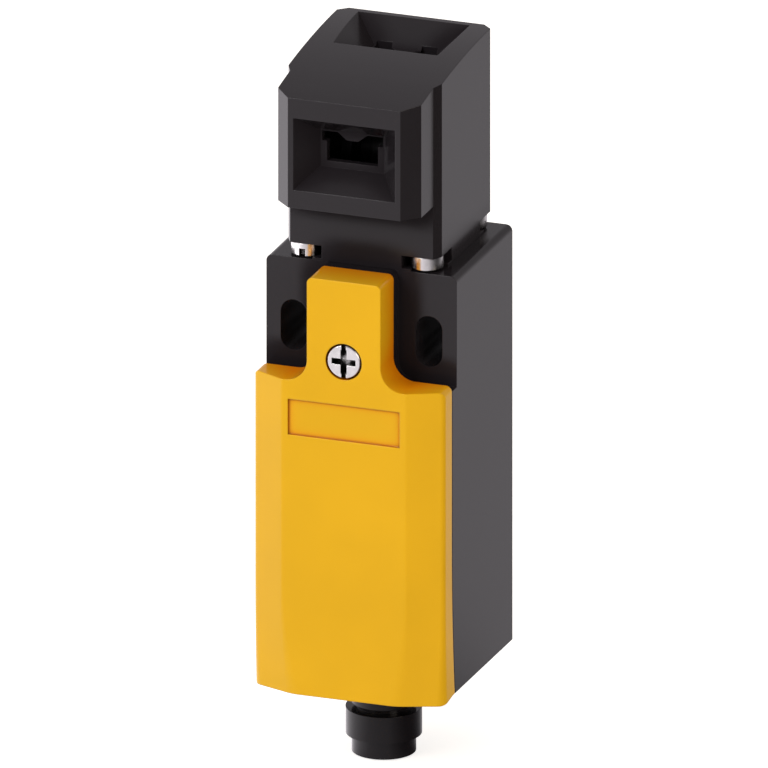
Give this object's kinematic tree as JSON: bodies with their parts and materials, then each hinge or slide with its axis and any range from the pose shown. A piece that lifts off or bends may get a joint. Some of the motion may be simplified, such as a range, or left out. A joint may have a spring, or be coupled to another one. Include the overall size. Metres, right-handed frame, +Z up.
{
  "type": "tongue interlock switch",
  "caption": "Narrow safety position switch with a yellow hooked cover, an actuator head with front and top entries for a separate coded tongue, and a round device plug.",
  "frame": {"origin": "rear mounting face, midway between the centres of the two fixing slots", "axes": "+Z up towards the actuator head, -Y out of the cover side, +Y out of the rear mounting face, +X to the right seen from behind"},
  "size_m": [0.031, 0.033, 0.1143],
  "materials": {
    "black_plastic": "gloss",
    "yellow_plastic": "satin",
    "seal_rubber": "matte",
    "bright_screw": "gloss",
    "steel": "satin",
    "spring_steel": "satin",
    "brass": "satin",
    "gold_contact": "gloss",
    "inner_plastic": "satin",
    "plunger_plastic": "satin",
    "rotor_plastic": "satin",
    "rotor_metal": "satin",
    "block_plastic": "satin",
    "clear_plastic": "gloss",
    "carrier_plastic": "satin",
    "contact_metal": "satin",
    "insert_plastic": "satin",
    "lead_brown": "satin",
    "lead_white": "satin",
    "lead_blue": "satin",
    "lead_black": "satin"
  },
  "bodies": {
    "switch_body": {"housing": "black_plastic", "head_housing": "black_plastic", "head_base": "inner_plastic", "head_seal": "seal_rubber", "plunger_wiper": "seal_rubber", "head_screws": "bright_screw", "rotor_axle": "steel", "axle_keepers": "inner_plastic", "cover_insert": "brass", "plunger_spring": "spring_steel", "contact_block_base": "block_plastic", "contact_block_window": "clear_plastic", "contact_block_screws": "bright_screw", "return_spring": "spring_steel", "break_contacts": "contact_metal", "make_contacts": "contact_metal", "terminal_clamps": "steel", "terminal_screws": "bright_screw", "plug_shell": "black_plastic", "plug_insert": "insert_plastic", "plug_pins": "gold_contact", "plug_locknut": "brass", "plug_seal": "seal_rubber", "break_lead_left": "lead_brown", "break_lead_right": "lead_white", "make_lead_left": "lead_blue", "make_lead_right": "lead_black"},
    "front_cover": {"cover": "yellow_plastic", "cover_gasket": "seal_rubber"},
    "captive_screw": {"cover_screw": "bright_screw", "cover_screw_retainer": "steel"},
    "rotor": {"cam_hub": "rotor_plastic", "code_disc_left": "rotor_metal", "code_disc_right": "rotor_metal"},
    "plunger": {"head_plunger": "plunger_plastic"},
    "carrier": {"contact_carrier": "carrier_plastic", "break_bridge": "contact_metal", "make_bridge": "contact_metal", "contact_springs": "spring_steel"}
  },
  "joints": [
    {"name": "cover_hinge", "type": "hinge", "parent": "switch_body", "child": "front_cover", "pos_m": [0, -0.026, -0.0564], "axis": [1, 0, 0], "range_deg": [0, 40]},
    {"name": "cover_screw_turn", "type": "hinge", "parent": "front_cover", "child": "captive_screw", "pos_m": [0, -0.033, -0.002], "axis": [0, 1, 0], "continuous": true},
    {"name": "rotor_turn", "type": "hinge", "parent": "switch_body", "child": "rotor", "pos_m": [0, -0.01285, 0.026], "axis": [-1, 0, 0], "range_deg": [0, 45]},
    {"name": "plunger_slide", "type": "slide", "parent": "switch_body", "child": "plunger", "axis": [0, 0, 1], "range_m": [0, 0.0022], "deforming": ["plunger_spring"]},
    {"name": "carrier_slide", "type": "slide", "parent": "switch_body", "child": "carrier", "axis": [0, 0, 1], "range_m": [0, 0.0022], "deforming": ["return_spring"]}
  ],
  "couplings": [
    {"joint": "rotor_turn", "follows": "plunger_slide", "rad_per_m": 357.14},
    {"joint": "carrier_slide", "follows": "plunger_slide", "ratio": 1}
  ]
}
